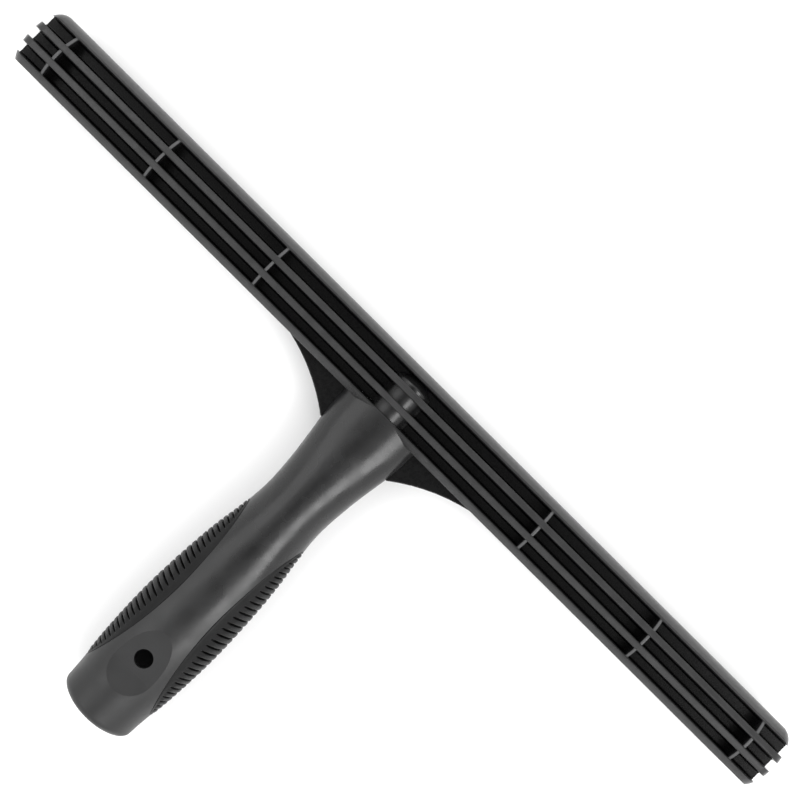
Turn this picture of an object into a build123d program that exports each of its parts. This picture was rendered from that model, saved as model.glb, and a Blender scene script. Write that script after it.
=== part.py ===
from build123d import *
import os

# T-bar of a window washer: a ribbed plastic bar that wears a washing sleeve, on a hollow handle.
# The bar and the two webs at its shoulders are one moulding. The handle is another, locked into the
# bar by a tongue and a round spigot, and it carries two soft pads.
#
# All lengths are in millimetres. The origin is the centre of the pole socket's mouth, +X runs along
# the bar, +Y runs up the handle to the bar, and +Z points out of the front, where the lock hole is.

# Bar: a round section with a flat on the handle's side, cut into rows of cells from both faces
bar_length = 345.2
bar_radius = 12.4
bar_y = 146.55
flat_y = 136.1
end_rounding = 4.7
end_corner = 1.6
web_thickness = 2.0
cell_rows = [(6.75, 4.30), (0.30, 3.95), (-5.90, 3.85)]
cell_draft = 0.25
cell_floor_fillet = 0.7
rib_tip_fillet = 0.55
cross_rib_x = [61.7, 112.3, 160.1]
cross_rib_thickness = 1.25
cross_rib_drop = 0.7
cross_rib_fillet = 0.5
end_allowance = 2.0
clearance = 1.0

# Handle's outer form: ellipses across the Y axis, eased between these (y, half width, half depth)
butt_y = -0.6
handle_stations = [
    (butt_y, 14.1, 14.1),
    (8.0, 14.5, 14.4),
    (22.0, 15.85, 14.6),
    (40.4, 16.6, 14.4),
    (58.0, 16.0, 13.65),
    (72.4, 14.8, 12.8),
    (84.0, 13.1, 11.9),
    (95.4, 12.2, 11.1),
    (108.0, 13.0, 10.4),
    (118.0, 14.35, 9.8),
    (127.0, 15.75, 9.4),
    (flat_y, 16.3, 9.3),
]
section_count = 29
butt_rounding = 2.8
butt_crown_radius = 62.0

# Tongue and spigot that lock the handle into the bar
tongue_half_width = 15.6
tongue_end_y = 139.2
tongue_root = 2.0
spigot_radius = 7.35
spigot_shoulder_y = 152.5
spigot_shoulder_fillet = 0.9
spigot_end_y = 155.4
spigot_root = 4.0
joint_gap = 0.03

# Hollow of the handle: a straight pole socket, a cone, and a core hole into the spigot
socket_radius = 10.5
socket_length = 60.0
cone_end_y = 106.0
core_hole_radius = 4.8
core_hole_end_y = 150.0

# Thumb scoop on the front, and the hole that takes a pole's lock button
scoop_low_y = 12.6
scoop_deep_y = 21.0
scoop_high_y = 38.9
scoop_floor_z = 12.5
scoop_rim_z = 14.7
scoop_reach_x = 14.0
scoop_top_z = 20.0
lock_hole_y = 26.7
lock_hole_radius = 3.25
lock_hole_reach = 30.0

# Webs at the bar's shoulders, on both sides of the neck
gusset_thickness = 3.2
gusset_reach = 44.6
gusset_tip_y = 136.5
gusset_foot_x = 15.6
gusset_foot_y = 123.6
gusset_mid_x = 28.1
gusset_mid_y = 131.15
gusset_edge_fillet = 0.5

# Soft pads: the hard spine's half width, as (y, half width), from the butt's end to the neck's
pad_depth = 2.4
spine_edge = [
    (12.7, 14.5),
    (25.6, 11.2),
    (40.1, 9.0),
    (53.0, 8.35),
    (64.0, 8.8),
    (76.5, 10.0),
    (87.2, 12.3),
]
pad_outside_x = 24.0


def y_cylinder(radius, y_from, y_to):
    """Cylinder along +Y."""
    disc = Plane.XZ.offset(-y_from) * Circle(radius)
    return extrude(disc, y_from - y_to)


def x_bar(face, length):
    """Face drawn in the YZ plane, extruded evenly to both sides of X = 0."""
    return extrude(face, length / 2, both=True)


def above_flat(low_y):
    """Rectangle over the bar's section from low_y up, drawn with the row's Y as its X."""
    width = 2 * bar_radius
    return Pos(low_y + width / 2, 0) * Rectangle(width, width + 2 * clearance)


def bar_section():
    """Round section with its flat, less a drafted cell in each row from the front and the back."""
    section = (Pos(bar_y, 0) * Circle(bar_radius)) & above_flat(flat_y)
    floor_z = web_thickness / 2
    top_z = bar_radius + clearance
    for offset, width in cell_rows:
        centre = bar_y + offset
        half_top = width / 2
        half_floor = half_top - cell_draft
        for side in (1, -1):
            corners = [
                (centre - half_floor, side * floor_z),
                (centre + half_floor, side * floor_z),
                (centre + half_top, side * top_z),
                (centre - half_top, side * top_z),
            ]
            cell = make_face(Polyline(*corners, close=True))
            floor_corners = cell.vertices().filter_by(lambda v: abs(v.Y) < web_thickness)
            section -= fillet(floor_corners, cell_floor_fillet)
    tips = section.vertices().filter_by(lambda v: abs(v.Y) > web_thickness + cell_floor_fillet)
    return fillet(tips, rib_tip_fillet)


def to_bar_plane(shape):
    """Lay a drawing whose X is the row's Y, and whose Y is the row's Z, into the YZ plane."""
    return Plane.YZ * shape


def bar_end_form():
    """Rounded cylinder that trims the bar to length and rounds its ends, with rounded flat corners."""
    blank = Cylinder(bar_radius + joint_gap, bar_length)
    blank = fillet(blank.edges().filter_by(GeomType.CIRCLE), end_rounding)
    blank = Pos(0, bar_y, 0) * Rot(0, 90, 0) * blank
    depth = bar_y + bar_radius + clearance - flat_y
    block = Pos(0, flat_y + depth / 2, 0) * Box(bar_length, depth, 2 * bar_radius + 2 * clearance)
    corners = block.edges().filter_by(Axis.Z).sort_by(Axis.Y)[:2]
    return blank & fillet(corners, end_corner)


def cross_rib(x):
    """Thin disc across the bar, a little lower than the ribs' tips."""
    disc = (Pos(bar_y, 0) * Circle(bar_radius - cross_rib_drop)) & above_flat(flat_y + cross_rib_drop)
    plate = x_bar(to_bar_plane(disc), cross_rib_thickness)
    plate = fillet(plate.edges().filter_by(GeomType.CIRCLE), cross_rib_fillet)
    return Pos(x, 0, 0) * plate


def spigot(radius, end_y):
    """Round barrel from inside the neck, ending in a shallow round cap."""
    start_y = flat_y - spigot_root
    cap_height = end_y - spigot_shoulder_y
    cap_radius = (radius**2 + cap_height**2) / (2 * cap_height)
    with BuildPart() as barrel:
        with BuildSketch(Plane.XY):
            with BuildLine():
                Polyline((0, end_y), (0, start_y), (radius, start_y), (radius, spigot_shoulder_y))
                RadiusArc((radius, spigot_shoulder_y), (0, end_y), -cap_radius)
            profile = make_face()
            shoulder = profile.vertices().sort_by_distance((radius, spigot_shoulder_y))[0]
            fillet(shoulder, spigot_shoulder_fillet)
        revolve(axis=Axis.Y)
    return barrel.part


def tongue_block(half_width, end_y):
    """Block over the notch that the tongue fills in the bar's lower wall."""
    length = end_y - flat_y + tongue_root
    return Pos(0, end_y - length / 2, 0) * Box(2 * half_width, length, 2 * bar_radius + 2 * clearance)


def tongue():
    """Head of the neck: the neck's form carried on to the cells, and flush with the wall beside it."""
    lowest_offset, lowest_width = cell_rows[-1]
    cell_edge_y = bar_y + lowest_offset - lowest_width / 2
    neck_top = Plane.XZ.offset(-flat_y) * Ellipse(*handle_stations[-1][1:])
    neck = extrude(neck_top, flat_y - cell_edge_y)
    wall = x_bar(to_bar_plane(bar_section()), 2 * tongue_half_width)
    wall &= Pos(0, tongue_root, 0) * tongue_block(tongue_half_width, tongue_end_y - tongue_root)
    return (neck & tongue_block(tongue_half_width, tongue_end_y)) + wall


def slope_at(index, column):
    """Slope of one column of the stations at a station, from its neighbours."""
    before = handle_stations[max(index - 1, 0)]
    after = handle_stations[min(index + 1, len(handle_stations) - 1)]
    return (after[column] - before[column]) / (after[0] - before[0])


def eased(y, column):
    """Half width or half depth at y, on a cubic through the stations."""
    index = 0
    while index < len(handle_stations) - 2 and y > handle_stations[index + 1][0]:
        index += 1
    low, high = handle_stations[index], handle_stations[index + 1]
    span = high[0] - low[0]
    t = (y - low[0]) / span
    low_part = (2 * t**3 - 3 * t**2 + 1) * low[column]
    high_part = (3 * t**2 - 2 * t**3) * high[column]
    low_slope = (t**3 - 2 * t**2 + t) * span * slope_at(index, column)
    high_slope = (t**3 - t**2) * span * slope_at(index + 1, column)
    return low_part + high_part + low_slope + high_slope


def handle_form(inset):
    """Outer form of the handle, drawn in by an even inset."""
    faces = []
    for step in range(section_count):
        y = butt_y + (flat_y - butt_y) * step / (section_count - 1)
        outline = Ellipse(eased(y, 1) - inset, eased(y, 2) - inset)
        faces.append(Plane.XZ.offset(-y) * outline)
    return loft(faces)


def gusset(side):
    """Thin plate under the bar's flat on one side of the neck, with a hollow rounded edge."""
    with BuildPart() as web:
        with BuildSketch(Plane.XY):
            with BuildLine():
                curve = ThreePointArc(
                    (side * gusset_reach, gusset_tip_y),
                    (side * gusset_mid_x, gusset_mid_y),
                    (side * gusset_foot_x, gusset_foot_y),
                )
                tip_x = side * gusset_reach
                root_y = flat_y + web_thickness
                Polyline(curve @ 1, (0, gusset_foot_y), (0, root_y), (tip_x, root_y), curve @ 0)
            make_face()
        extrude(amount=gusset_thickness / 2, both=True)
        rims = web.edges().filter_by(GeomType.CIRCLE)
        fillet(rims, gusset_edge_fillet)
    return web.part


def ribbed_bar():
    bar = x_bar(to_bar_plane(bar_section()), bar_length + 2 * end_allowance)
    for x in cross_rib_x:
        bar += cross_rib(x)
        bar += cross_rib(-x)
    bar &= bar_end_form()
    bar += gusset(1)
    bar += gusset(-1)
    bar -= handle_form(-joint_gap)
    bar -= spigot(spigot_radius + joint_gap, spigot_end_y + joint_gap)
    bar -= tongue_block(tongue_half_width + joint_gap, tongue_end_y + joint_gap)
    return bar


def pad_region(side):
    """Everything outside the spine's edge on one side, through the whole depth."""
    edge_points = [(side * x, y) for y, x in spine_edge]
    with BuildPart() as region:
        with BuildSketch(Plane.XY):
            with BuildLine():
                edge = Spline(*edge_points)
                Polyline(
                    edge @ 1,
                    (side * pad_outside_x, spine_edge[-1][0]),
                    (side * pad_outside_x, spine_edge[0][0]),
                    edge @ 0,
                )
            make_face()
        extrude(amount=bar_radius * 2, both=True)
    return region.part


def grip_pad(side):
    """Soft skin round one flank of the grip."""
    return (handle_form(0) & pad_region(side)) - handle_form(pad_depth)


def scoop():
    """Cutter for the thumb scoop: long and shallow above, short and steep towards the butt."""
    with BuildPart() as cutter:
        with BuildSketch(Plane.YZ):
            with BuildLine():
                low = TangentArc(
                    (scoop_deep_y, scoop_floor_z), (scoop_low_y, scoop_rim_z), tangent=(-1, 0)
                )
                high = TangentArc(
                    (scoop_deep_y, scoop_floor_z), (scoop_high_y, scoop_rim_z), tangent=(1, 0)
                )
                Polyline(low @ 1, (scoop_low_y, scoop_top_z), (scoop_high_y, scoop_top_z), high @ 1)
            make_face()
        extrude(amount=scoop_reach_x, both=True)
    return cutter.part


def y_cone(radius_from, radius_to, y_from, y_to):
    """Cone along +Y."""
    low = Plane.XZ.offset(-y_from) * Circle(radius_from)
    high = Plane.XZ.offset(-y_to) * Circle(radius_to)
    return loft([low, high])


def handle_hollow():
    """Chamfered mouth, pole socket, the cone above it and the core hole up into the spigot."""
    mouth_reach = 1.0
    mouth_radius = socket_radius + mouth_reach - butt_y
    hollow = y_cone(mouth_radius, socket_radius, butt_y - mouth_reach, 0)
    hollow += y_cylinder(socket_radius, 0, socket_length)
    hollow += y_cone(socket_radius, core_hole_radius, socket_length, cone_end_y)
    hollow += y_cylinder(core_hole_radius, cone_end_y, core_hole_end_y)
    return hollow


def lock_hole():
    """Cutter for the round hole from the socket out through the scoop."""
    upwards = (Align.CENTER, Align.CENTER, Align.MIN)
    return Pos(0, lock_hole_y, 0) * Cylinder(lock_hole_radius, lock_hole_reach, align=upwards)


def butt_trimmer():
    """Cutter that leaves the butt's end slightly crowned from side to side."""
    reach = butt_crown_radius / 3
    block = Pos(0, butt_y, 0) * Box(2 * reach, 2 * reach, 2 * reach)
    return block - Pos(0, butt_y + butt_crown_radius, 0) * Cylinder(butt_crown_radius, 3 * reach)


def handle_core():
    body = handle_form(0) - butt_trimmer()
    rim = body.faces().sort_by(Axis.Y)[0].outer_wire().edges()
    body = fillet(rim, butt_rounding)
    body += tongue()
    body += spigot(spigot_radius, spigot_end_y)
    body -= handle_hollow()
    body -= scoop()
    body -= lock_hole()
    body -= grip_pad(1)
    body -= grip_pad(-1)
    return body


parts = {
    "ribbed_bar": ribbed_bar(),
    "handle_core": handle_core(),
    "left_grip_pad": grip_pad(-1),
    "right_grip_pad": grip_pad(1),
}
os.makedirs("parts", exist_ok=True)
for node, shape in parts.items():
    shape.label = node
    export_step(shape, f"parts/{node}.step")
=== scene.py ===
"""Window washer T-bar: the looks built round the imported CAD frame. Metres throughout."""
import math

import bmesh
import bpy
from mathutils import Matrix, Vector


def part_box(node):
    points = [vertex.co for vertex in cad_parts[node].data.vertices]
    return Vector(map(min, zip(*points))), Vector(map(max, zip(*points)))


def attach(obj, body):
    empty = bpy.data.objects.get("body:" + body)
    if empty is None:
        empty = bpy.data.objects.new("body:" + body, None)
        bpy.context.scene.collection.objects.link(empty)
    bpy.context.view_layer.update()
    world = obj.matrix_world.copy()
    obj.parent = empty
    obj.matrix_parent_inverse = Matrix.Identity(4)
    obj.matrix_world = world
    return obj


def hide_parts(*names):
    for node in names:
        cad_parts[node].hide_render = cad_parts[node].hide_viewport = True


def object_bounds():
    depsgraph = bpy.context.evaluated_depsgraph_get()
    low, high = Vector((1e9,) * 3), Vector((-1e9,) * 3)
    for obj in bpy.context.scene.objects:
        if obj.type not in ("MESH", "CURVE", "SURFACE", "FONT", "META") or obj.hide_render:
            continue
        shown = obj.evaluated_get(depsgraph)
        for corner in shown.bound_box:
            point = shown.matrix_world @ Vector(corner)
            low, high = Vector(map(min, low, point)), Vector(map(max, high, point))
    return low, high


MM = 0.001

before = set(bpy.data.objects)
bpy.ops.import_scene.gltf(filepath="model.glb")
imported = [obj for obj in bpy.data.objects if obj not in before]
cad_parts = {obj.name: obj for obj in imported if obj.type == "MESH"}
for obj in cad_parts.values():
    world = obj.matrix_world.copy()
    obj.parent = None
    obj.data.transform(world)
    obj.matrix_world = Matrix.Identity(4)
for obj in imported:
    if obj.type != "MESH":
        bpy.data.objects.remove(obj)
cad_low, cad_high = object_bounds()

# ---------------------------------------------------------------- places taken from the frame
bar_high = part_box("ribbed_bar")[1]
BAR_RADIUS = 12.4 * MM
BAR_AXIS_Y = bar_high.y - BAR_RADIUS
FLAT_Y = BAR_AXIS_Y - 10.45 * MM
CROSS_RIB_X = [61.7 * MM, 112.3 * MM, 160.1 * MM]
CROSS_RIB_THICKNESS = 1.25 * MM

# Handle's outer form, as the CAD has it: (y, half width, half depth) in millimetres
STATIONS = [
    (-0.6, 14.1, 14.1),
    (8.0, 14.5, 14.4),
    (22.0, 15.85, 14.6),
    (40.4, 16.6, 14.4),
    (58.0, 16.0, 13.65),
    (72.4, 14.8, 12.8),
    (84.0, 13.1, 11.9),
    (95.4, 12.2, 11.1),
    (108.0, 13.0, 10.4),
    (118.0, 14.35, 9.8),
    (127.0, 15.75, 9.4),
    (136.1, 16.3, 9.3),
]
# Edge of the hard spine between the pads: (y, half width) in millimetres
SPINE_EDGE = [
    (12.7, 14.5),
    (25.6, 11.2),
    (40.1, 9.0),
    (53.0, 8.35),
    (64.0, 8.8),
    (76.5, 10.0),
    (87.2, 12.3),
]


def eased(table, y, column):
    """Value of one column at y, on a cubic through the table's rows."""

    def slope(i):
        before, after = table[max(i - 1, 0)], table[min(i + 1, len(table) - 1)]
        return (after[column] - before[column]) / (after[0] - before[0])

    i = 0
    while i < len(table) - 2 and y > table[i + 1][0]:
        i += 1
    low, high = table[i], table[i + 1]
    span = high[0] - low[0]
    t = (y - low[0]) / span
    value = (2 * t**3 - 3 * t**2 + 1) * low[column] + (3 * t**2 - 2 * t**3) * high[column]
    value += (t**3 - 2 * t**2 + t) * span * slope(i)
    return value + (t**3 - t**2) * span * slope(i + 1)


def smoothstep(low, high, value):
    t = min(max((value - low) / (high - low), 0.0), 1.0)
    return t * t * (3 - 2 * t)


def between(first, second, share):
    return first + (second - first) * share


# ---------------------------------------------------------------- soft grip pads
# Lengths in millimetres; a share is of the pad's length unless its line says otherwise
PAD_FROM, PAD_TO = SPINE_EDGE[0][0], SPINE_EDGE[-1][0]
PAD_LENGTH = PAD_TO - PAD_FROM
GROOVES = 33
PITCH_SWING = 0.12  # how much finer than average the pitch is at both ends
GROOVE_DEPTH = 1.15
GROOVE_SHARE = 0.36  # of the pitch
GROOVE_START_SHARE = 0.45  # of a groove's full width, where it starts beside the band
GROOVE_START_DEPTH = 0.5  # of a groove's full depth, there
GROOVE_FADE = 0.35  # of the fins' rise, over which the grooves sink in
GROOVE_SWEEP = 1.9
FIN_PROUD = 0.28
FIN_END_SHARE = 0.012
END_SHARE = 0.3
BAND_WIDTH, BAND_AT_ENDS = 2.7, 0.9
RISE_WIDTH, RISE_AT_ENDS = 3.2, 1.2
EDGE_DROP, EDGE_DROP_WIDTH = 0.2, 0.55
EDGE_LIMIT = 0.985  # of the handle's half width
PAD_SKIN = 2.2
ROWS_PER_GROOVE = 18
COLUMNS = 60
COLUMN_CROWDING = 0.09


def groove_phase(share):
    """Position along the pad in grooves: the pitch is finer at both ends."""
    return GROOVES * (share + PITCH_SWING * math.sin(2 * math.pi * share) / (2 * math.pi))


def pad_height(share, from_edge, swept):
    """How far the pad stands over the handle's form, in mm, at a distance from the pad's edge.

    swept is how far, as a share of the pad's length, the grooves lean towards the butt there."""
    ends = min(share, 1 - share)
    full = smoothstep(0.0, END_SHARE, ends)
    band = between(BAND_AT_ENDS, BAND_WIDTH, full)
    rise = between(RISE_AT_ENDS, RISE_WIDTH, full)
    fins = smoothstep(band, band + rise, from_edge) * smoothstep(0.0, FIN_END_SHARE, ends)
    from_groove = abs(groove_phase(share + swept) % 1.0 - 0.5) * 2
    notch = 1 - smoothstep(0.0, GROOVE_SHARE * between(GROOVE_START_SHARE, 1.0, fins), from_groove)
    crest = 1 - (1 - smoothstep(0.0, 1.0, from_groove)) ** 2
    depth = GROOVE_DEPTH * between(GROOVE_START_DEPTH, 1.0, fins) + FIN_PROUD
    height = fins * FIN_PROUD * crest - smoothstep(0.0, GROOVE_FADE, fins) * depth * notch
    return height - EDGE_DROP * (1 - smoothstep(0.0, EDGE_DROP_WIDTH, from_edge)) ** 2


def pad_point(side, share, across, inner):
    """A point of the pad: share runs up the handle, across runs round it from front to back."""
    y = between(PAD_FROM, PAD_TO, share)
    half_width, half_depth = eased(STATIONS, y, 1), eased(STATIONS, y, 2)
    edge_x = min(eased(SPINE_EDGE, y, 1), half_width * EDGE_LIMIT)
    edge_angle = math.acos(edge_x / half_width)
    angle = edge_angle * (1 - 2 * across)
    x, z = half_width * math.cos(angle), half_depth * math.sin(angle)
    from_edge = math.hypot(x, z) * edge_angle * (1 - abs(1 - 2 * across))
    swept = GROOVE_SWEEP * (z / half_depth) ** 2 / PAD_LENGTH
    lift = -PAD_SKIN if inner else pad_height(share, from_edge, swept)
    normal = Vector((math.cos(angle) / half_width, 0, math.sin(angle) / half_depth)).normalized()
    point = Vector((x, y, z)) + normal * lift
    return Vector((side * point.x, point.y, point.z)) * MM


def finned_pad(name, side):
    """Closed skin: a finned outer sheet, a smooth inner one, and a rim that joins them."""
    rows = GROOVES * ROWS_PER_GROOVE
    bm = bmesh.new()
    sheets = []
    for inner in (False, True):
        sheet = []
        for i in range(rows + 1):
            share = i / rows
            row = []
            for j in range(COLUMNS + 1):
                # columns crowd towards both edges, where the rim and the grooves' ends are
                t = j / COLUMNS
                across = t - COLUMN_CROWDING * math.sin(2 * math.pi * t) / math.pi
                row.append(bm.verts.new(pad_point(side, share, across, inner)))
            sheet.append(row)
        sheets.append(sheet)
    outer, back = sheets
    for i in range(rows):
        for j in range(COLUMNS):
            for sheet, flip in ((outer, False), (back, True)):
                quad = [sheet[i][j], sheet[i][j + 1], sheet[i + 1][j + 1], sheet[i + 1][j]]
                bm.faces.new(quad[::-1] if flip else quad)
    for i in range(rows):
        bm.faces.new((outer[i + 1][0], back[i + 1][0], back[i][0], outer[i][0]))
        bm.faces.new((outer[i][-1], back[i][-1], back[i + 1][-1], outer[i + 1][-1]))
    for j in range(COLUMNS):
        bm.faces.new((outer[0][j], back[0][j], back[0][j + 1], outer[0][j + 1]))
        bm.faces.new((outer[-1][j + 1], back[-1][j + 1], back[-1][j], outer[-1][j]))
    bmesh.ops.recalc_face_normals(bm, faces=bm.faces[:])
    mesh = bpy.data.meshes.new(name)
    bm.to_mesh(mesh)
    bm.free()
    mesh.polygons.foreach_set("use_smooth", [True] * len(mesh.polygons))
    pad = bpy.data.objects.new(name, mesh)
    bpy.context.scene.collection.objects.link(pad)
    return pad


# ---------------------------------------------------------------- materials
class Nodes:
    """Short ways to add and join shader nodes in one material."""

    def __init__(self, name):
        self.material = bpy.data.materials.new(name)
        self.material.use_nodes = True
        self.tree = self.material.node_tree
        self.shader = self.tree.nodes["Principled BSDF"]
        self.place = self.add("ShaderNodeTexCoord").outputs["Object"]

    def add(self, kind, **inputs):
        node = self.tree.nodes.new(kind)
        for key, value in inputs.items():
            self.feed(node.inputs[key], value)
        return node

    def feed(self, socket, value):
        if isinstance(value, bpy.types.NodeSocket):
            self.tree.links.new(value, socket)
        else:
            socket.default_value = value

    def noise(self, scale, detail=3.0, roughness=0.5):
        node = self.add("ShaderNodeTexNoise", Vector=self.place)
        node.inputs["Scale"].default_value = scale
        node.inputs["Detail"].default_value = detail
        node.inputs["Roughness"].default_value = roughness
        return node.outputs["Fac"]

    def math(self, operation, first, second=0.0):
        node = self.tree.nodes.new("ShaderNodeMath")
        node.operation = operation
        self.feed(node.inputs[0], first)
        self.feed(node.inputs[1], second)
        return node.outputs[0]

    def ramp(self, value, low, high, out_low=0.0, out_high=1.0):
        """Value eased from low..high to out_low..out_high."""
        node = self.tree.nodes.new("ShaderNodeMapRange")
        node.interpolation_type = "SMOOTHSTEP"
        self.feed(node.inputs["Value"], value)
        node.inputs["From Min"].default_value = low
        node.inputs["From Max"].default_value = high
        node.inputs["To Min"].default_value = out_low
        node.inputs["To Max"].default_value = out_high
        return node.outputs["Result"]

    def mix(self, share, first, second):
        node = self.tree.nodes.new("ShaderNodeMix")
        node.data_type = "RGBA"
        self.feed(node.inputs["Factor"], share)
        self.feed(node.inputs["A"], first)
        self.feed(node.inputs["B"], second)
        return node.outputs["Result"]

    def clouds(self, scale, detail, darkest, lightest):
        """Albedo that drifts between two greys."""
        return self.mix(self.ramp(self.noise(scale, detail), 0.3, 0.75), grey(darkest), grey(lightest))

    def satin(self, scale, smoothest, roughest):
        """Roughness that drifts between two values."""
        return self.ramp(self.noise(scale), 0.3, 0.7, smoothest, roughest)

    def bump(self, height, distance, strength, under=None):
        node = self.tree.nodes.new("ShaderNodeBump")
        node.inputs["Distance"].default_value = distance
        node.inputs["Strength"].default_value = strength
        self.feed(node.inputs["Height"], height)
        if under is not None:
            self.feed(node.inputs["Normal"], under)
        return node.outputs["Normal"]


def grey(value):
    return (value, value, value * 1.02, 1.0)


# Greys are albedos; depths are measured inwards from the bar's round outer surface
# Painted shade: deep in the cells, webs included, the plastic gets this darker grey instead of its own
CELL_SHADE_GREY = 0.003
BAR_GREYS = {"darkest": 0.007, "lightest": 0.011}
# Rib tips: scuffed patches lighter as wear and painted sheen; the cross ribs' tips much lighter as a
# painted highlight
WORN_AND_SHEEN_GREY, CROSS_RIB_HIGHLIGHT_GREY = 0.020, 0.085
CELL_DEPTHS = (5.0 * MM, 1.0 * MM)
TIP_DEPTHS = (1.1 * MM, 0.5 * MM)
CROSS_RIB_DEPTHS = (0.6 * MM, 0.45 * MM)
FLAT_EDGE = 0.2 * MM
TIPS_ADD = 0.08
# Painted shade: the cells get the lower specular level, the open surfaces the higher
CELL_SHADE_GLOSS, OPEN_GLOSS = 0.15, 0.33


def bar_plastic():
    """Black moulded plastic: darkest in the cells and on the webs as painted shade, scuffed lighter on
    the ribs' tips as wear and painted sheen, and lighter still on the cross ribs' tips as a painted
    highlight.
    """
    n = Nodes("bar_plastic")
    split = n.add("ShaderNodeSeparateXYZ", Vector=n.place).outputs
    off_axis = n.math("SUBTRACT", split["Y"], BAR_AXIS_Y)
    squares = n.math("ADD", n.math("POWER", off_axis, 2.0), n.math("POWER", split["Z"], 2.0))
    depth = n.math("SUBTRACT", BAR_RADIUS, n.math("SQRT", squares))
    on_bar = n.ramp(split["Y"], FLAT_Y - FLAT_EDGE, FLAT_Y)
    # Mask of the painted shade: 0 deep in the cells, 1 on the open surfaces
    out_of_cell_shade = n.math("MULTIPLY", n.ramp(depth, *CELL_DEPTHS), on_bar)
    tips = n.math("MULTIPLY", n.ramp(depth, *TIP_DEPTHS), on_bar)
    below_tips = n.ramp(depth, *CROSS_RIB_DEPTHS, 1.0, 0.0)
    # Mask of the cross ribs' tips, which get a painted highlight
    cross_rib_highlight = 0.0
    for rib_x in CROSS_RIB_X:
        off_rib = n.math("ABSOLUTE", n.math("SUBTRACT", n.math("ABSOLUTE", split["X"]), rib_x))
        this_rib = n.ramp(off_rib, 0.5 * CROSS_RIB_THICKNESS, 0.8 * CROSS_RIB_THICKNESS, 1.0, 0.0)
        cross_rib_highlight = n.math("MAXIMUM", n.math("MULTIPLY", this_rib, below_tips), cross_rib_highlight)
    patches = n.ramp(n.noise(scale=220, detail=5, roughness=0.65), 0.35, 0.7, 0.4, 1.0)
    # Scuffed patches on the rib tips, lighter as wear and painted sheen, plus the cross ribs' tips with
    # their painted highlight
    rubbed_and_highlit = n.math("MULTIPLY", tips, n.math("MAXIMUM", patches, cross_rib_highlight))
    # The plastic's own drifting grey, with painted shade deep in the cells
    unworn_with_cell_shade = n.mix(out_of_cell_shade, grey(CELL_SHADE_GREY), n.clouds(scale=70, detail=4, **BAR_GREYS))
    # Tip colour: wear and painted sheen on the ribs, painted highlight on the cross ribs
    worn_and_highlit = n.mix(cross_rib_highlight, grey(WORN_AND_SHEEN_GREY), grey(CROSS_RIB_HIGHLIGHT_GREY))
    n.feed(n.shader.inputs["Base Color"], n.mix(rubbed_and_highlit, unworn_with_cell_shade, worn_and_highlit))
    satin = n.satin(scale=900, smoothest=0.24, roughest=0.34)
    n.feed(n.shader.inputs["Roughness"], n.math("ADD", satin, n.math("MULTIPLY", tips, TIPS_ADD)))
    # Painted shade: less specular deep in the cells
    n.feed(n.shader.inputs["Specular IOR Level"], n.ramp(out_of_cell_shade, 0.0, 1.0, CELL_SHADE_GLOSS, OPEN_GLOSS))
    grain = n.bump(n.noise(3200, 2), 0.02 * MM, 0.35)
    n.feed(n.shader.inputs["Normal"], n.bump(n.noise(260, 2), 0.04 * MM, 0.3, grain))
    return n.material


MATTE_UP_TO, SATIN_FROM = 15 * MM, 80 * MM
MATTE_ADDS = 0.18


def handle_plastic():
    """The same black plastic with a mottled satin, more matte towards the butt, and a faint ripple."""
    n = Nodes("handle_plastic")
    split = n.add("ShaderNodeSeparateXYZ", Vector=n.place).outputs
    n.feed(n.shader.inputs["Base Color"], n.clouds(scale=55, detail=3, darkest=0.009, lightest=0.013))
    satin = n.satin(scale=140, smoothest=0.22, roughest=0.32)
    matte = n.ramp(split["Y"], MATTE_UP_TO, SATIN_FROM, MATTE_ADDS, 0.0)
    n.feed(n.shader.inputs["Roughness"], n.math("ADD", satin, matte))
    n.shader.inputs["Specular IOR Level"].default_value = 0.38
    grain = n.bump(n.noise(2600, 2), 0.01 * MM, 0.3)
    n.feed(n.shader.inputs["Normal"], n.bump(n.noise(120, 1), 0.04 * MM, 0.25, grain))
    return n.material


def pad_rubber():
    """Matte black soft rubber."""
    n = Nodes("pad_rubber")
    n.feed(n.shader.inputs["Base Color"], n.clouds(scale=120, detail=4, darkest=0.004, lightest=0.007))
    n.feed(n.shader.inputs["Roughness"], n.satin(scale=1200, smoothest=0.36, roughest=0.46))
    n.shader.inputs["Specular IOR Level"].default_value = 0.15
    n.feed(n.shader.inputs["Normal"], n.bump(n.noise(3000, 2), 0.02 * MM, 0.4))
    return n.material


def dress(obj, material):
    obj.data.materials.clear()
    obj.data.materials.append(material)


handle_black = handle_plastic()
dress(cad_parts["ribbed_bar"], bar_plastic())
dress(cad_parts["handle_core"], handle_black)
rubber = pad_rubber()
for side, word in ((-1, "left"), (1, "right")):
    pad = finned_pad(f"{word}_finned_pad", side)
    dress(pad, rubber)
    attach(pad, "root")
    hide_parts(f"{word}_grip_pad")

# ---------------------------------------------------------------- floor
FLOOR_SIZE = 6.0
FLOOR_WHITE = (0.9, 0.9, 0.9, 1.0)


def pale_floor():
    bpy.ops.mesh.primitive_plane_add(size=FLOOR_SIZE, location=(0, 0, cad_low.z))
    floor = bpy.context.object
    floor.name = "floor"
    n = Nodes("floor_white")
    n.feed(n.shader.inputs["Base Color"], FLOOR_WHITE)
    n.shader.inputs["Roughness"].default_value = 0.9
    n.shader.inputs["Specular IOR Level"].default_value = 0.1
    dress(floor, n.material)


pale_floor()

# ---------------------------------------------------------------- lights
AIM = Vector((0, BAR_AXIS_Y - 60 * MM, 0))


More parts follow.
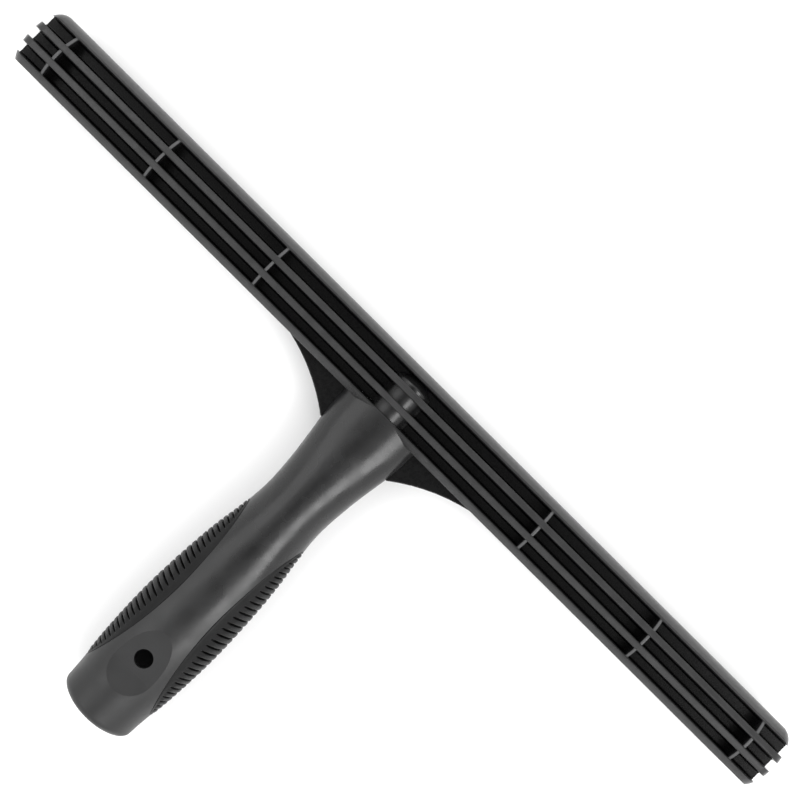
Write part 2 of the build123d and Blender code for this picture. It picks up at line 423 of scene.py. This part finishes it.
def softbox(name, azimuth, elevation, distance, width, height, radiance):
    """Rectangular light aimed at the object: azimuth from +X towards +Y, both angles in degrees."""
    light = bpy.data.lights.new(name, "AREA")
    light.shape = "RECTANGLE"
    light.size, light.size_y = width, height
    light.energy = radiance * math.pi * width * height
    around, up = math.radians(azimuth), math.radians(elevation)
    away = Vector((math.cos(around) * math.cos(up), math.sin(around) * math.cos(up), math.sin(up)))
    lamp = bpy.data.objects.new(name, light)
    lamp.location = AIM + away * distance
    lamp.rotation_euler = (-away).to_track_quat("-Z", "Y").to_euler()
    bpy.context.scene.collection.objects.link(lamp)


softbox("right_softbox", 0, elevation=48, distance=1.05, width=0.5, height=0.42, radiance=8.0)
softbox("left_softbox", 180, elevation=50, distance=1.05, width=0.6, height=0.60, radiance=1.3)
for azimuth, radiance in ((45, 0.5), (135, 2.8), (225, 2.4), (315, 2.2)):
    name = f"corner_softbox_{azimuth}"
    softbox(name, azimuth, elevation=50, distance=1.3, width=0.6, height=0.6, radiance=radiance)


# Cosines of the angle from the dark spot's middle at which it has faded out, and is full
SPOT_FADED, SPOT_FULL = 0.974, 0.9986


def studio_world(horizon, overhead, dark_spot, tilt):
    """Soft surround, brightest near the horizon, with a dark spot overhead, tilted towards +Y."""
    world = bpy.data.worlds.new("studio")
    world.use_nodes = True
    tree = world.node_tree
    place = tree.nodes.new("ShaderNodeTexCoord").outputs["Generated"]
    height_up = tree.nodes.new("ShaderNodeVectorMath")
    height_up.operation = "DOT_PRODUCT"
    height_up.inputs[1].default_value = (0, math.sin(tilt), math.cos(tilt))
    tree.links.new(place, height_up.inputs[0])
    ramp = tree.nodes.new("ShaderNodeValToRGB")
    stops = ((0.0, horizon), (SPOT_FADED, overhead), (SPOT_FULL, dark_spot))
    elements = ramp.color_ramp.elements
    for index, (height, level) in enumerate(stops):
        stop = elements[index] if index < len(elements) else elements.new(height)
        stop.position = height
        stop.color = (level, level, level, 1)
    tree.links.new(height_up.outputs["Value"], ramp.inputs[0])
    tree.links.new(ramp.outputs["Color"], tree.nodes["Background"].inputs["Color"])
    tree.nodes["Background"].inputs["Strength"].default_value = 1.0
    bpy.context.scene.world = world


studio_world(horizon=1.6, overhead=0.85, dark_spot=0.03, tilt=math.radians(4))
bpy.context.scene.view_settings.view_transform = "Standard"

# ---------------------------------------------------------------- camera
CAMERA_X = -0.0003
CAMERA_HEIGHT = 0.560
VIEW_WIDTH = 0.268
VIEW_CENTRE_Y = 0.14596
ROLL = math.radians(44.86)
SENSOR_WIDTH = 36  # millimetres, as the lens length is

camera_data = bpy.data.cameras.new("camera")
camera_data.sensor_width = SENSOR_WIDTH
camera_data.lens = SENSOR_WIDTH * CAMERA_HEIGHT / VIEW_WIDTH
camera_data.dof.use_dof = False
camera = bpy.data.objects.new("camera", camera_data)
camera.location = (CAMERA_X, VIEW_CENTRE_Y, CAMERA_HEIGHT)
camera.rotation_euler = (0, 0, ROLL)
bpy.context.scene.collection.objects.link(camera)
bpy.context.scene.camera = camera
